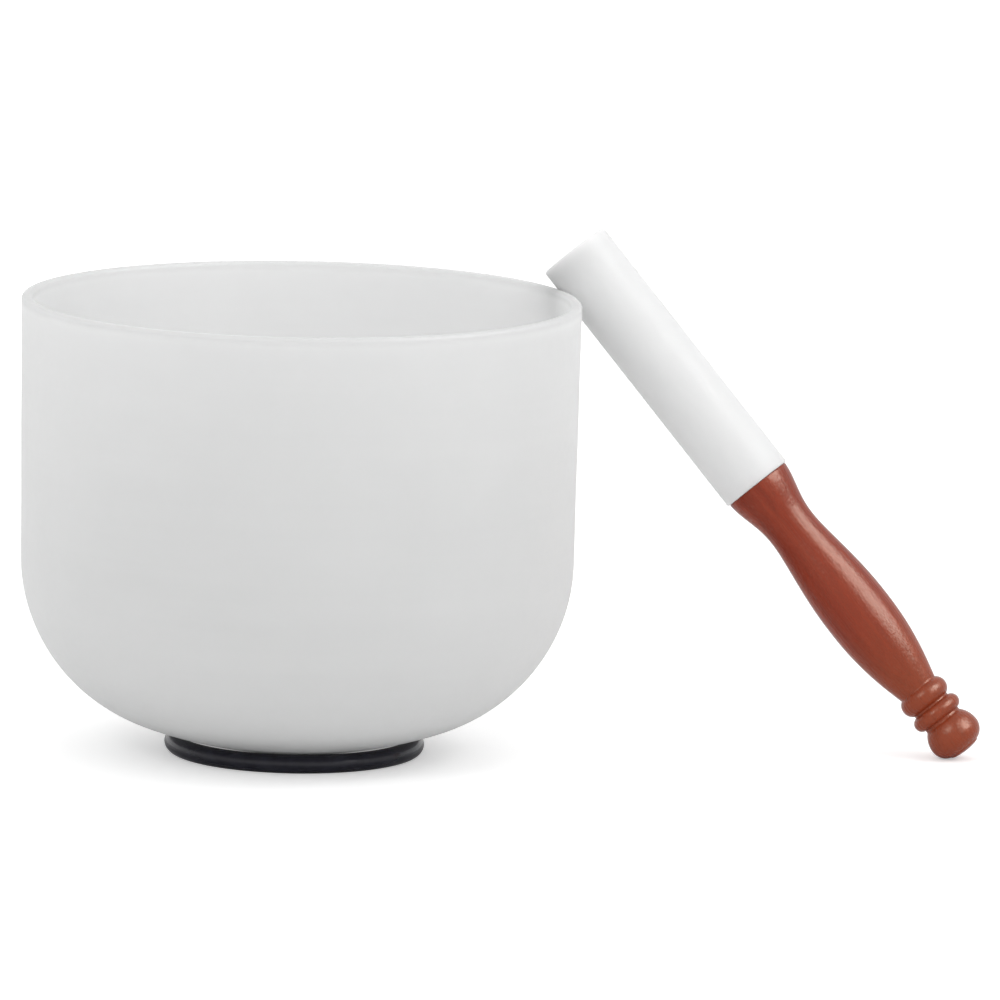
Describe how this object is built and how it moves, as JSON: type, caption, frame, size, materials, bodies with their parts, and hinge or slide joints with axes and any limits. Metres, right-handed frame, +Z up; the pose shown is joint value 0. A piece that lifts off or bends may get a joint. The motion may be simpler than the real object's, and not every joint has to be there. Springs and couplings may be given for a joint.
{
  "type": "singing bowl",
  "caption": "Frosted quartz singing bowl on a rubber ring, with a turned wooden mallet in a white silicone sleeve leaning on its rim.",
  "frame": {"origin": "centre of the rubber ring's underside, on the surface that the bowl stands on", "axes": "+Z up along the bowl's own axis, +X towards the side where the mallet leans"},
  "size_m": [0.4404, 0.254, 0.2361],
  "materials": {
    "frosted_quartz": "matte",
    "black_rubber": "satin",
    "white_silicone": "satin",
    "turned_wood": "gloss"
  },
  "bodies": {
    "ring": {"rubber_ring": "black_rubber"},
    "bowl": {"quartz_bowl": "frosted_quartz"},
    "mallet": {"mallet_sleeve": "white_silicone", "mallet_handle": "turned_wood"}
  },
  "joints": [
    {"name": "bowl_lift", "type": "slide", "parent": "ring", "child": "bowl", "axis": [0, 0, 1], "range_m": [0, 0.06]},
    {"name": "mallet_strike", "type": "hinge", "parent": "bowl", "child": "mallet", "pos_m": [0.302, 0.009, 0.01086], "axis": [0.247, 0.969, 0], "range_deg": [0, 40]}
  ]
}
